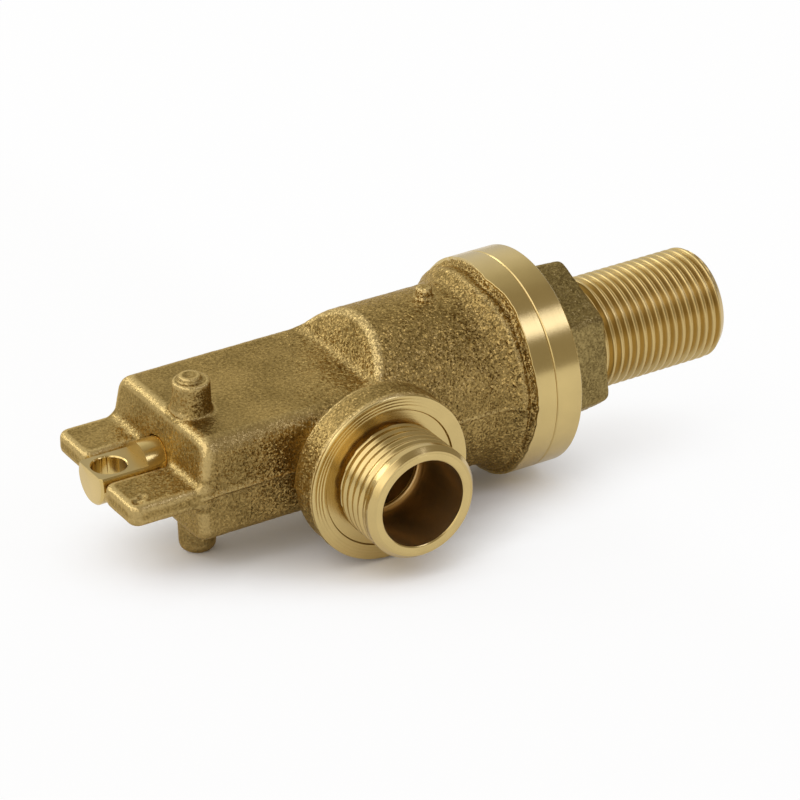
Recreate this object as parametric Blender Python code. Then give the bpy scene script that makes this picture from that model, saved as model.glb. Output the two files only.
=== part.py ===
"""Lever valve: a cast brass body with a sliding stem, a screwed inlet cover and a side outlet.

Sizes are millimetres in the constants and are turned into metres when a solid is made.
The main axis is X (stem at -X, inlet at +X), the outlet points to -Y and Z is up.
All solids are drawn from the point where the main axis crosses the outlet axis.
"""
import math

import bmesh
import bpy
from mathutils import Vector

MM = 0.001

# Main axis, measured from the outlet axis
FRONT_FACE = 24.9        # front face of the neck, towards the stem's eye
FLANGE_FACE = 30.6       # face of the body flange, towards the inlet

# Neck of the casting
NECK_HALF_WIDTH = 12.9
NECK_HALF_HEIGHT = 7.9
NECK_CORNER = 2.4
NECK_DRAFT = 0.35        # how much the sides lean in at the top and bottom
FACE_DRAFT_TOP = 1.6     # how much the front face leans back at the top
FACE_DRAFT_BOTTOM = 0.7  # and at the bottom
NECK_EDGE = 0.9          # rounding of the front edges
RAMP_FOOT = 4.4          # where the ramp to the barrel starts
RAMP_LEAN = 0.6          # run of the ramp for one unit of rise

# Barrel, shoulder and flange
BARREL_RADIUS = 13.42
SHOULDER_STEP = 1.63     # rise from the barrel to the cast shoulder
FLANGE_STEP = 2.58       # rise from the barrel to the rim of both flanges
SHOULDER_START = 22.6
SHOULDER_RISE = 3.9      # length of the curve from the barrel to the shoulder
RELIEF_DEPTH = 0.3       # small relief between the cast shoulder and the turned flange
BODY_FLANGE = 3.0        # turned width of the body's flange
FLANGE_EDGE = 0.22

# Ears beside the stem's head
EAR_THICKNESS = 3.1
EAR_REACH_NEAR = 10.0    # past the front face, on the outlet's side
EAR_REACH_FAR = 8.4      # past the front face, on the other side
EAR_SIDE = 12.75
EAR_GAP = 0.55           # between the stem and each ear
EAR_CORNER_NEAR = 1.5
EAR_CORNER_FAR = 1.7
EAR_EDGE = 0.5

# Pegs on the neck's top and bottom
PEG_X = -20.1
PEG_Y = -2.8
PEG_RADIUS = 2.65
PEG_TOP = 4.7            # above the neck
PEG_BOTTOM = 5.7         # below the neck
PEG_BUTTON = 0.45
PEG_BUTTON_RADIUS = 1.6

# Small cast pip on the barrel
PIP_X = 18.7
PIP_RADIUS = 1.15
PIP_HEIGHT = 1.5

# Outlet boss and nipple
BOSS_FACE = 21.4
BOSS_RADIUS = 12.24
BOSS_LAND = 2.25         # width of the raised ring on the face
BOSS_STEP = 0.35
BOSS_SIDE = 4.9          # length of the boss behind its face
BOSS_NECK_RADIUS = 7.4   # where the boss leaves the neck's side
OUTLET_REACH = 29.9
THREAD_RADIUS = 8.331    # three-eighths pipe thread, outer radius
THREAD_RELIEF = 1.05     # depth of the undercut at the end of a thread
OUTLET_RELIEF = 0.9      # width of the undercut beside the boss
INLET_RELIEF = 0.6       # width of the undercut beside the hexagon
END_CHAMFER = 0.5
OUTLET_BORE = 6.31
OUTLET_BORE_DEPTH = 10.3
OUTLET_PORT = 5.2

# Inlet cover
COVER_FLANGE = 4.2
HEX_LENGTH = 8.1
HEX_ACROSS_FLATS = 22.0
HEX_TURN = 83.0          # degrees from +Y to the first corner
HEX_TAPER = 0.55         # loss of radius towards the nipple
HEX_CORNER = 0.5
NIPPLE_LENGTH = 22.3
INLET_BORE = 6.0
SPIGOT_RADIUS = 10.9
SPIGOT_LENGTH = 5.6
SEAT_BORE = 4.8
SEAT_LIP = 0.8
SEAT_LIP_WIDTH = 1.0
SEAT_LAND = 3.2          # length of the seat's bore

# Stem
STEM_RADIUS = 3.55
STEM_PROUD = 9.8         # past the front face
STEM_FLAT = 1.55         # height of the milled flat above the axis
STEM_FLAT_END = 1.4      # from the front face to the end of the flat
EYE_FROM_END = 3.0
EYE_RADIUS = 2.45
STEM_CHAMFER = 0.3
SPIGOT_ROD_RADIUS = 2.6  # thinner end that carries the valve disc
STUD_RADIUS = 1.9        # screw end for the nut

# Packing around the stem
FRONT_WALL = 5.6
PACKING_RADIUS = 5.9
BACKING_WIDTH = 1.2
RING_SECTION = 0.95
SPACER_WIDTH = 1.5
GLAND_WIDTH = 2.8
CIRCLIP_WIDTH = 0.9
CIRCLIP_DEPTH = 0.55
CIRCLIP_INNER = 4.7
CIRCLIP_OPENING = 50.0   # degrees

# Chamber
PASSAGE_RADIUS = 6.4
CHAMBER_RADIUS = 10.2
CHAMBER_START = 8.2
CHAMBER_CONE = 2.6
CHAMBER_LEDGE = 2.2      # ledge that the spring's washer rests on
THREAD_BORE_MARGIN = 1.4  # how far the cover's screw thread runs past its spigot
GASKET_WIDTH = 1.5
GASKET_THICKNESS = 0.7

# Valve disc, its washer and the spring
TRAVEL = 4.0
DISC_RADIUS = 7.3
DISC_CUP = 2.4
DISC_FLANGE_RADIUS = 9.3
DISC_FLANGE = 1.2
DISC_HUB_RADIUS = 4.6
DISC_HUB = 2.2
DISC_WALL = 0.7
SEAL_THICKNESS = 2.4
SEAL_PROUD = 0.8
PLATE_THICKNESS = 0.8
PLATE_RADIUS = 3.7
NUT_THICKNESS = 2.0
NUT_ACROSS_FLATS = 5.6
STUD_PAST_NUT = 0.7
SPRING_WIRE = 0.5        # radius of the wire
SPRING_TURNS = 3.2
SPRING_MEAN_RADIUS = 7.3
SPRING_WASHER = 0.8

# Clearances
FIT = 0.3                # sliding and stacked pieces
GUIDE = 0.12             # stem in the front wall
JOINT = 0.15             # faces that are screwed together
SEAL_GAP = 0.12          # rubber face to the seat

FINE = 52
MEDIUM = 36
SMALL = 24

SHOULDER_RADIUS = BARREL_RADIUS + SHOULDER_STEP
FLANGE_RADIUS = BARREL_RADIUS + FLANGE_STEP

BOX_X = (-FRONT_FACE - max(STEM_PROUD, EAR_REACH_NEAR, EAR_REACH_FAR),
         FLANGE_FACE + JOINT + COVER_FLANGE + HEX_LENGTH + NIPPLE_LENGTH)
BOX_Y = (-OUTLET_REACH, FLANGE_RADIUS)
SHIFT = Vector((-(BOX_X[0] + BOX_X[1]) / 2, -(BOX_Y[0] + BOX_Y[1]) / 2, FLANGE_RADIUS)) * MM

AXES = {
    "x": (Vector((1, 0, 0)), Vector((0, 1, 0)), Vector((0, 0, 1))),
    "y": (Vector((0, 1, 0)), Vector((0, 0, 1)), Vector((1, 0, 0))),
    "z": (Vector((0, 0, 1)), Vector((1, 0, 0)), Vector((0, 1, 0))),
}


def clear_scene():
    for item in list(bpy.data.objects):
        bpy.data.objects.remove(item, do_unlink=True)
    for mesh in list(bpy.data.meshes):
        bpy.data.meshes.remove(mesh)


def make_material(name, colour, roughness, metallic):
    material = bpy.data.materials.new(name)
    material.use_nodes = True
    shader = material.node_tree.nodes["Principled BSDF"]
    shader.inputs["Base Color"].default_value = (*colour, 1.0)
    shader.inputs["Roughness"].default_value = roughness
    shader.inputs["Metallic"].default_value = metallic
    material.diffuse_color = (*colour, 1.0)
    return material


def add_object(name, bm, smooth=True):
    bmesh.ops.recalc_face_normals(bm, faces=bm.faces)
    mesh = bpy.data.meshes.new(name)
    bm.to_mesh(mesh)
    bm.free()
    item = bpy.data.objects.new(name, mesh)
    bpy.context.collection.objects.link(item)
    item.location = SHIFT
    for face in mesh.polygons:
        face.use_smooth = smooth
    return item


def loft(name, rings, closed=False):
    """A solid through rings of equal length; its ends are capped unless the rings close on themselves."""
    bm = bmesh.new()
    rows = [[bm.verts.new(Vector(point) * MM) for point in ring] for ring in rings]
    count = len(rows[0])
    pairs = list(zip(rows, rows[1:]))
    if closed:
        pairs.append((rows[-1], rows[0]))
    for low, high in pairs:
        for i in range(count):
            j = (i + 1) % count
            bm.faces.new((low[i], low[j], high[j], high[i]))
    if not closed:
        bm.faces.new(rows[0])
        bm.faces.new(rows[-1])
    return add_object(name, bm)


def lathe(name, profile, axis="x", centre=(0, 0, 0), segments=FINE, hollow=False):
    """A turned solid from (position, radius) pairs; a hollow one has a profile that closes on itself."""
    along, side, up = AXES[axis]
    rings = []
    for place, radius in profile:
        ring = []
        for i in range(segments):
            angle = 2 * math.pi * i / segments
            spoke = side * math.cos(angle) + up * math.sin(angle)
            ring.append(Vector(centre) + along * place + spoke * radius)
        rings.append(ring)
    return loft(name, rings, closed=hollow)


def ring_solid(name, start, end, inner, outer, segments=MEDIUM):
    """A flat ring on the main axis."""
    profile = [(start, inner), (start, outer), (end, outer), (end, inner)]
    return lathe(name, profile, segments=segments, hollow=True)


def rounded_outline(low, high, radii, inset=0.0, steps=4):
    """Corners of a rectangle, each with its own radius, anticlockwise from the lower left one."""
    x0, y0 = low[0] + inset, low[1] + inset
    x1, y1 = high[0] - inset, high[1] - inset
    centres = ((x0, y0, 1, 1, 180), (x1, y0, -1, 1, 270), (x1, y1, -1, -1, 0), (x0, y1, 1, -1, 90))
    points = []
    for (x, y, sx, sy, first), radius in zip(centres, radii):
        r = max(radius - inset, 0.05)
        for i in range(steps + 1):
            angle = math.radians(first + 90 * i / steps)
            points.append((x + sx * r + r * math.cos(angle), y + sy * r + r * math.sin(angle)))
    return points


def prism(name, outline, axis, start, end):
    """A solid with one outline between two places on an axis."""
    along, side, up = AXES[axis]
    rings = [[along * place + side * a + up * b for a, b in outline] for place in (start, end)]
    return loft(name, rings)


def combine(base, tool, operation):
    step = base.modifiers.new(operation.title(), "BOOLEAN")
    step.operation = operation
    step.solver = "EXACT"
    step.object = tool
    bpy.context.view_layer.update()
    result = bpy.data.meshes.new_from_object(base.evaluated_get(bpy.context.evaluated_depsgraph_get()))
    base.modifiers.remove(step)
    old, base.data = base.data, result
    bpy.data.meshes.remove(old)
    bpy.data.objects.remove(tool, do_unlink=True)
    return base


def join(base, *tools):
    for tool in tools:
        combine(base, tool, "UNION")
    return base


def cut(base, *tools):
    for tool in tools:
        combine(base, tool, "DIFFERENCE")
    return base


def finish(item, name, material, angle=32.0):
    item.name = name
    item.data.name = name
    item.data.materials.clear()
    item.data.materials.append(material)
    for face in item.data.polygons:
        face.material_index = 0
        face.use_smooth = True
    item.data.set_sharp_from_angle(angle=math.radians(angle))
    return item


def neck():
    """Rounded block that leans back a little above and below the parting plane."""
    rings = []
    stations = (
        (-FRONT_FACE, NECK_EDGE), (-FRONT_FACE + 0.3 * NECK_EDGE, 0.3 * NECK_EDGE),
        (-FRONT_FACE + NECK_EDGE, 0.0), (RAMP_FOOT + 5.0, 0.0),
    )
    for number, (place, inset) in enumerate(stations):
        half_w = NECK_HALF_WIDTH
        half_h = NECK_HALF_HEIGHT
        outline = rounded_outline((-half_w, -half_h), (half_w, half_h), (NECK_CORNER,) * 4, inset)
        ring = []
        for y, z in outline:
            lean = NECK_DRAFT * abs(z) / half_h
            draft = FACE_DRAFT_TOP if z > 0 else FACE_DRAFT_BOTTOM
            back = draft * abs(z) / half_h if number < 3 else 0.0
            ring.append((place + back, y - math.copysign(lean, y), z))
        rings.append(ring)
    return loft("neck", rings)


def barrel():
    """Barrel, hollow shoulder curve, relief and turned flange, with the ramps cut at the neck."""
    flange_start = FLANGE_FACE - BODY_FLANGE
    start = RAMP_FOOT - 0.6
    profile = [(start, BARREL_RADIUS), (SHOULDER_START, BARREL_RADIUS)]
    for i in range(1, 7):
        part = i / 6
        height = BARREL_RADIUS + SHOULDER_STEP * part ** 2.2
        profile.append((SHOULDER_START + SHOULDER_RISE * part, height))
    profile += [
        (flange_start - 0.85, SHOULDER_RADIUS),
        (flange_start - 0.7, SHOULDER_RADIUS - RELIEF_DEPTH),
        (flange_start - 0.4, SHOULDER_RADIUS - RELIEF_DEPTH),
        (flange_start - 0.22, FLANGE_RADIUS - 0.5),
        (flange_start, FLANGE_RADIUS),
        (FLANGE_FACE - FLANGE_EDGE, FLANGE_RADIUS),
        (FLANGE_FACE, FLANGE_RADIUS - FLANGE_EDGE),
    ]
    solid = lathe("barrel", profile)
    low = NECK_HALF_HEIGHT - 0.6
    high = BARREL_RADIUS + 3.0
    foot = RAMP_FOOT + (low - NECK_HALF_HEIGHT) * RAMP_LEAN
    head = RAMP_FOOT + (high - NECK_HALF_HEIGHT) * RAMP_LEAN
    for side in (1, -1):
        outline = [(side * low, foot), (side * high, head), (side * high, start - 2.0), (side * low, start - 2.0)]
        cut(solid, prism("ramp", outline, "y", -BARREL_RADIUS - 4.0, BARREL_RADIUS + 4.0))
    return solid


def ear(side, reach, corner):
    """One plate beside the stem's head, with rounded edges."""
    inner = STEM_RADIUS + EAR_GAP
    half = EAR_THICKNESS / 2
    x0, x1 = -FRONT_FACE - reach, -FRONT_FACE + 2.5
    if side < 0:
        low, high = (x0, -EAR_SIDE), (x1, -inner)
        radii = (corner, 0.2, 0.2, 0.8)
    else:
        low, high = (x0, inner), (x1, EAR_SIDE)
        radii = (0.8, 0.2, 0.2, corner)
    rings = []
    for height, inset in ((-half, EAR_EDGE), (-half + 0.3 * EAR_EDGE, 0.3 * EAR_EDGE), (-half + EAR_EDGE, 0.0),
                          (half - EAR_EDGE, 0.0), (half - 0.3 * EAR_EDGE, 0.3 * EAR_EDGE), (half, EAR_EDGE)):
        rings.append([(x, y, height) for x, y in rounded_outline(low, high, radii, inset)])
    return loft("ear", rings)


def peg(side, length):
    """One peg on the neck, with a rounded rim and a low button."""
    top = NECK_HALF_HEIGHT + length
    profile = [
        (NECK_HALF_HEIGHT - 2.0, PEG_RADIUS), (top - 0.45, PEG_RADIUS), (top - 0.12, PEG_RADIUS - 0.14),
        (top, PEG_RADIUS - 0.45), (top, PEG_BUTTON_RADIUS + 0.1), (top + PEG_BUTTON, PEG_BUTTON_RADIUS - 0.25),
    ]
    if side < 0:
        profile = [(place, radius) for place, radius in profile[:4]]
    profile = [(side * place, radius) for place, radius in profile]
    return lathe("peg", profile, "z", (PEG_X, PEG_Y, 0), segments=SMALL)


def boss():
    """Outlet boss with its stepped face and nipple, along -Y."""
    face, end = BOSS_FACE, OUTLET_REACH
    step = BOSS_RADIUS - BOSS_LAND
    profile = [
        (2.0, BOSS_NECK_RADIUS), (NECK_HALF_WIDTH - 0.6, BOSS_NECK_RADIUS),
        (NECK_HALF_WIDTH + 1.2, BOSS_NECK_RADIUS + 1.4), (face - BOSS_SIDE - 1.3, BOSS_RADIUS - 1.6),
        (face - BOSS_SIDE - 0.5, BOSS_RADIUS - 0.5), (face - BOSS_SIDE + 0.1, BOSS_RADIUS),
        (face - BOSS_SIDE + 0.8, BOSS_RADIUS + 0.1), (face - 0.15, BOSS_RADIUS), (face, BOSS_RADIUS - 0.15),
        (face, step), (face - BOSS_STEP, step - 0.12),
        (face - BOSS_STEP, THREAD_RADIUS - THREAD_RELIEF + 0.3),
        (face - BOSS_STEP + 0.3, THREAD_RADIUS - THREAD_RELIEF),
        (face - BOSS_STEP + OUTLET_RELIEF, THREAD_RADIUS - THREAD_RELIEF),
        (face - BOSS_STEP + OUTLET_RELIEF + 0.8 * THREAD_RELIEF, THREAD_RADIUS),
        (end - END_CHAMFER, THREAD_RADIUS), (end, THREAD_RADIUS - END_CHAMFER),
    ]
    return lathe("boss", [(-place, radius) for place, radius in profile], "y")


def packing_places():
    """Start and end of each piece stacked on the stem behind the front wall."""
    widths = (
        ("backing_washer", BACKING_WIDTH), ("stem_o_ring_outer", 2 * RING_SECTION),
        ("o_ring_spacer", SPACER_WIDTH), ("stem_o_ring_inner", 2 * RING_SECTION),
        ("gland_bush", GLAND_WIDTH), ("retaining_ring", CIRCLIP_WIDTH),
    )
    place = -FRONT_FACE + FRONT_WALL + FIT
    places = {}
    for name, width in widths:
        places[name] = (place, place + width)
        place += width + FIT
    return places


def seat_face():
    """Place of the seat lip's top on the main axis."""
    return FLANGE_FACE + JOINT - SPIGOT_LENGTH - SEAT_LIP


def valve_places():
    """Places along the axis of the pieces that move with the stem, from the seat back."""
    seal_end = seat_face() - SEAL_GAP
    seal_start = seal_end - SEAL_THICKNESS
    cup_end = seal_end - SEAL_PROUD
    cup_floor = seal_start - FIT / 2
    cup_start = cup_end - DISC_CUP
    flange_start = cup_start - DISC_FLANGE
    hub_start = flange_start - DISC_HUB
    plate_start = seal_end + FIT / 2
    nut_start = plate_start + PLATE_THICKNESS + FIT / 2
    return {
        "seal": (seal_start, seal_end), "cup": (cup_start, cup_end), "cup_floor": cup_floor,
        "flange": (flange_start, cup_start), "hub": (hub_start, flange_start),
        "plate": (plate_start, plate_start + PLATE_THICKNESS), "nut": (nut_start, nut_start + NUT_THICKNESS),
    }


def make_body(material):
    body = neck()
    join(body, barrel(), boss())
    join(body, ear(-1, EAR_REACH_NEAR, EAR_CORNER_NEAR), ear(1, EAR_REACH_FAR, EAR_CORNER_FAR))
    join(body, peg(1, PEG_TOP), peg(-1, PEG_BOTTOM))
    pip = [(BARREL_RADIUS - 1.5, PIP_RADIUS), (BARREL_RADIUS + PIP_HEIGHT - 0.5, PIP_RADIUS),
           (BARREL_RADIUS + PIP_HEIGHT, PIP_RADIUS - 0.4)]
    join(body, lathe("pip", pip, "z", (PIP_X, 0, 0), segments=20))

    rod = STEM_RADIUS + GUIDE
    clip_start, clip_end = packing_places()["retaining_ring"]
    groove_start, groove_end = clip_start - FIT / 2, clip_end + FIT / 2
    thread = SPIGOT_RADIUS + JOINT
    thread_start = FLANGE_FACE + JOINT - SPIGOT_LENGTH - THREAD_BORE_MARGIN
    recess = FLANGE_FACE - GASKET_THICKNESS - JOINT
    cavity = lathe("cavity", [
        (-FRONT_FACE - 3.0, rod), (-FRONT_FACE + FRONT_WALL, rod),
        (-FRONT_FACE + FRONT_WALL, PACKING_RADIUS), (groove_start, PACKING_RADIUS),
        (groove_start, PACKING_RADIUS + CIRCLIP_DEPTH), (groove_end, PACKING_RADIUS + CIRCLIP_DEPTH),
        (groove_end, PASSAGE_RADIUS), (CHAMBER_START - CHAMBER_CONE, PASSAGE_RADIUS),
        (CHAMBER_START - 0.4, CHAMBER_RADIUS - CHAMBER_LEDGE), (CHAMBER_START, CHAMBER_RADIUS),
        (thread_start, CHAMBER_RADIUS), (thread_start + 0.5, thread), (recess, thread),
        (recess, thread + GASKET_WIDTH + 2 * FIT), (FLANGE_FACE + 2.0, thread + GASKET_WIDTH + 2 * FIT),
    ])
    port = lathe("port", [
        (-OUTLET_REACH - 2.0, OUTLET_BORE), (-OUTLET_REACH + OUTLET_BORE_DEPTH, OUTLET_BORE),
        (-OUTLET_REACH + OUTLET_BORE_DEPTH + 0.4, OUTLET_PORT), (-1.0, OUTLET_PORT),
    ], "y")
    cut(body, cavity, port)
    return finish(body, "valve_body", material)


def hexagon(place, radius):
    """Six corners with a small flat on each, at one place on the main axis."""
    points = []
    for i in range(6):
        for shift in (-1, 1):
            corner = math.radians(HEX_TURN + 60 * i)
            side = math.radians(HEX_TURN + 60 * i + shift * 60)
            ca, sa = radius * math.cos(corner), radius * math.sin(corner)
            cb, sb = radius * math.cos(side), radius * math.sin(side)
            part = HEX_CORNER / radius
            points.append((place, ca + (cb - ca) * part, sa + (sb - sa) * part))
    return points


def make_cover(material):
    start = FLANGE_FACE + JOINT
    hex_start = start + COVER_FLANGE
    hex_end = hex_start + HEX_LENGTH
    end = hex_end + NIPPLE_LENGTH
    inner = start - SPIGOT_LENGTH
    root = THREAD_RADIUS - THREAD_RELIEF
    lip = SEAT_BORE + SEAT_LIP_WIDTH
    cover = lathe("cover", [
        (inner - SEAT_LIP, lip - 0.35), (inner, lip), (inner, SPIGOT_RADIUS - 0.6), (inner + 0.6, SPIGOT_RADIUS),
        (start, SPIGOT_RADIUS), (start, FLANGE_RADIUS - FLANGE_EDGE), (start + FLANGE_EDGE, FLANGE_RADIUS),
        (hex_start - FLANGE_EDGE, FLANGE_RADIUS), (hex_start, FLANGE_RADIUS - FLANGE_EDGE),
        (hex_start, root + 0.2), (hex_end + 0.2, root), (hex_end + INLET_RELIEF, root),
        (hex_end + INLET_RELIEF + 0.3 * THREAD_RELIEF, THREAD_RADIUS),
        (end - END_CHAMFER, THREAD_RADIUS), (end, THREAD_RADIUS - END_CHAMFER),
    ])
    corner = HEX_ACROSS_FLATS / math.sqrt(3)
    nut = loft("hexagon", [
        hexagon(hex_start - 1.0, corner), hexagon(hex_start + 0.75 * HEX_LENGTH, corner - 0.6 * HEX_TAPER),
        hexagon(hex_end - 0.35, corner - HEX_TAPER), hexagon(hex_end, corner - HEX_TAPER - 0.6),
    ])
    join(cover, nut)
    bore = lathe("bore", [
        (inner - SEAT_LIP - 1.0, SEAT_BORE), (inner - SEAT_LIP + SEAT_LAND, SEAT_BORE),
        (inner - SEAT_LIP + SEAT_LAND + 1.2, INLET_BORE), (end - 0.5, INLET_BORE), (end + 1.0, INLET_BORE + 1.5),
    ])
    cut(cover, bore)
    return finish(cover, "inlet_cover", material)


def make_stem(material):
    places = valve_places()
    left = -FRONT_FACE - STEM_PROUD
    shoulder = places["hub"][0] - FIT / 2
    stud = places["cup_floor"]
    right = places["nut"][1] + STUD_PAST_NUT
    stem = lathe("stem", [
        (left, STEM_RADIUS - STEM_CHAMFER), (left + STEM_CHAMFER, STEM_RADIUS),
        (shoulder - 0.2, STEM_RADIUS), (shoulder, STEM_RADIUS - 0.2), (shoulder, SPIGOT_ROD_RADIUS),
        (stud, SPIGOT_ROD_RADIUS), (stud, STUD_RADIUS), (right - 0.4, STUD_RADIUS), (right, STUD_RADIUS - 0.4),
    ], segments=MEDIUM)
    wide = STEM_RADIUS + 2.0
    outline = [(left - 2.0, -wide), (-FRONT_FACE - STEM_FLAT_END, -wide),
               (-FRONT_FACE - STEM_FLAT_END, wide), (left - 2.0, wide)]
    cut(stem, prism("flat", outline, "z", STEM_FLAT, wide))
    eye = [(-wide, EYE_RADIUS), (wide, EYE_RADIUS)]
    cut(stem, lathe("eye", eye, "z", (left + EYE_FROM_END, 0, 0), segments=SMALL))
    return finish(stem, "stem", material)


def make_o_ring(name, material):
    start, end = packing_places()[name]
    middle = (start + end) / 2
    mean = (STEM_RADIUS + PACKING_RADIUS) / 2
    radius = min(RING_SECTION, (PACKING_RADIUS - STEM_RADIUS) / 2 - 0.08)
    profile = []
    for i in range(8):
        angle = 2 * math.pi * i / 8
        profile.append((middle + radius * math.cos(angle), mean + radius * math.sin(angle)))
    return finish(lathe(name, profile, segments=SMALL, hollow=True), name, material, 60.0)


def make_packing_ring(name, material):
    start, end = packing_places()[name]
    return finish(ring_solid(name, start, end, STEM_RADIUS + FIT, PACKING_RADIUS - FIT / 2), name, material)


def make_retaining_ring(material):
    """Open spring ring that sits in the groove behind the gland."""
    start, end = packing_places()["retaining_ring"]
    outer = PACKING_RADIUS + CIRCLIP_DEPTH - FIT / 2
    rings = []
    steps = 36
    for i in range(steps + 1):
        angle = math.radians(CIRCLIP_OPENING / 2 + (360 - CIRCLIP_OPENING) * i / steps)
        c, s = math.cos(angle), math.sin(angle)
        rings.append([
            (start, CIRCLIP_INNER * c, CIRCLIP_INNER * s), (end, CIRCLIP_INNER * c, CIRCLIP_INNER * s),
            (end, outer * c, outer * s), (start, outer * c, outer * s),
        ])
    return finish(loft("retaining_ring", rings), "retaining_ring", material)


def make_disc(material):
    places = valve_places()
    bore = SPIGOT_ROD_RADIUS + FIT / 2
    pocket = DISC_RADIUS - DISC_WALL
    profile = [
        (places["hub"][0], bore), (places["hub"][0], DISC_HUB_RADIUS), (places["flange"][0], DISC_HUB_RADIUS),
        (places["flange"][0], DISC_FLANGE_RADIUS - 0.15), (places["flange"][0] + 0.15, DISC_FLANGE_RADIUS),
        (places["flange"][1], DISC_FLANGE_RADIUS), (places["cup"][0], DISC_RADIUS), (places["cup"][1], DISC_RADIUS),
        (places["cup"][1], pocket), (places["cup_floor"], pocket), (places["cup_floor"], bore),
    ]
    return finish(lathe("valve_disc", profile, hollow=True, segments=MEDIUM), "valve_disc", material)


def make_nut(material):
    start, end = valve_places()["nut"]
    corner = NUT_ACROSS_FLATS / math.sqrt(3)
    rings = [[(x, r * math.cos(math.radians(60 * i)), r * math.sin(math.radians(60 * i))) for i in range(6)]
             for x, r in ((start, corner), (end - 0.3, corner), (end, corner - 0.3))]
    nut = loft("seat_nut", rings)
    hole = STUD_RADIUS + FIT / 2
    cut(nut, lathe("hole", [(start - 1.0, hole), (end + 1.0, hole)], segments=SMALL))
    return finish(nut, "seat_nut", material)


def make_spring(material):
    """Round wire wound between the washer and the disc's flange, with closed ends."""
    start = CHAMBER_START + FIT + SPRING_WASHER + FIT / 2 + SPRING_WIRE
    end = valve_places()["flange"][0] - FIT / 2 - SPRING_WIRE
    closed = 2.15 * SPRING_WIRE
    turns = SPRING_TURNS + 2.0
    steps = int(turns * 18)
    side = 6
    rings = []
    for i in range(steps + 1):
        turn = turns * i / steps
        if turn < 1.0:
            place = start + closed * turn
        elif turn > turns - 1.0:
            place = end - closed * (turns - turn)
        else:
            place = start + closed + (end - start - 2 * closed) * (turn - 1.0) / SPRING_TURNS
        angle = 2 * math.pi * turn
        out = Vector((0, math.cos(angle), math.sin(angle)))
        centre = Vector((place, 0, 0)) + out * SPRING_MEAN_RADIUS
        ring = []
        for j in range(side):
            a = 2 * math.pi * j / side
            ring.append(centre + out * (SPRING_WIRE * math.cos(a)) + Vector((1, 0, 0)) * (SPRING_WIRE * math.sin(a)))
        rings.append(ring)
    return finish(loft("return_spring", rings), "return_spring", material, 60.0)


def build():
    clear_scene()
    cast = make_material("cast brass", (0.38, 0.27, 0.10), 0.5, 0.9)
    turned = make_material("turned brass", (0.72, 0.52, 0.22), 0.28, 1.0)
    steel = make_material("stainless steel", (0.55, 0.55, 0.54), 0.3, 1.0)
    rubber = make_material("black rubber", (0.03, 0.03, 0.032), 0.6, 0.0)
    white = make_material("white plastic", (0.8, 0.8, 0.78), 0.45, 0.0)
    fibre = make_material("gasket fibre", (0.25, 0.09, 0.05), 0.8, 0.0)

    places = valve_places()
    thread = SPIGOT_RADIUS + JOINT
    recess = FLANGE_FACE - GASKET_THICKNESS - JOINT

    make_body(cast)
    make_cover(turned)
    gasket = ring_solid("cover_gasket", recess + JOINT, FLANGE_FACE, thread + FIT, thread + FIT + GASKET_WIDTH)
    finish(gasket, "cover_gasket", fibre)
    make_stem(turned)
    make_packing_ring("backing_washer", white)
    make_o_ring("stem_o_ring_outer", rubber)
    make_packing_ring("o_ring_spacer", turned)
    make_o_ring("stem_o_ring_inner", rubber)
    make_packing_ring("gland_bush", white)
    make_retaining_ring(steel)
    washer = ring_solid("spring_washer", CHAMBER_START + FIT, CHAMBER_START + FIT + SPRING_WASHER,
                        STEM_RADIUS + 1.6, CHAMBER_RADIUS - FIT)
    finish(washer, "spring_washer", steel)
    make_spring(steel)
    make_disc(turned)
    seal = ring_solid("seat_washer", *places["seal"], STUD_RADIUS + FIT / 2, DISC_RADIUS - DISC_WALL - FIT / 2)
    finish(seal, "seat_washer", rubber)
    plate = ring_solid("washer_plate", *places["plate"], STUD_RADIUS + FIT / 2, PLATE_RADIUS, segments=SMALL)
    finish(plate, "washer_plate", steel)
    make_nut(steel)


build()
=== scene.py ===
"""Looks of the lever valve: rough sand-cast brass beside bright turned brass, on a pale floor.

Forms are drawn in millimetres from the point where the main axis (X, inlet at +X) crosses the
outlet axis (outlet at -Y), and are put into the frame by that point's place.
"""
import math

import bmesh
import bpy
import numpy as np
from mathutils import Matrix, Vector


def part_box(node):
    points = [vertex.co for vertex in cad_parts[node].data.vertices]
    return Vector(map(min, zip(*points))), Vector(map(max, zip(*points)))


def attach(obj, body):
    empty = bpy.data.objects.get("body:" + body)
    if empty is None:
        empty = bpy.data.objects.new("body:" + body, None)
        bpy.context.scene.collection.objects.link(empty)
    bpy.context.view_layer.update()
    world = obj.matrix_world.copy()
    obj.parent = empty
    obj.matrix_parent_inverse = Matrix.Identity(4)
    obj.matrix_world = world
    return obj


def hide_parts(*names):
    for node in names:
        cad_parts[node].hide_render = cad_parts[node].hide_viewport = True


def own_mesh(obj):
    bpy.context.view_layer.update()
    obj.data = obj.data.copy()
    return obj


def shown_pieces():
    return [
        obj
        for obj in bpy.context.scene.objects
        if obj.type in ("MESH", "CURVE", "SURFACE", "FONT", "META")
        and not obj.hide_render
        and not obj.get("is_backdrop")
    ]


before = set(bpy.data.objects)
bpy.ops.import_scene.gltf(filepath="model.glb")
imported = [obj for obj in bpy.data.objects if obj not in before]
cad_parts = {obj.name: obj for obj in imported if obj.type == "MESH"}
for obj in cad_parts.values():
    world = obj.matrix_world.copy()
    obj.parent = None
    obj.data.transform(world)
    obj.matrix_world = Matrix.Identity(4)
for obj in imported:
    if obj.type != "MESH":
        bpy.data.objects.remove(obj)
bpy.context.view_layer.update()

MM = 0.001
CELL = 0.2   # millimetres between the samples that the castings are drawn from

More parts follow.
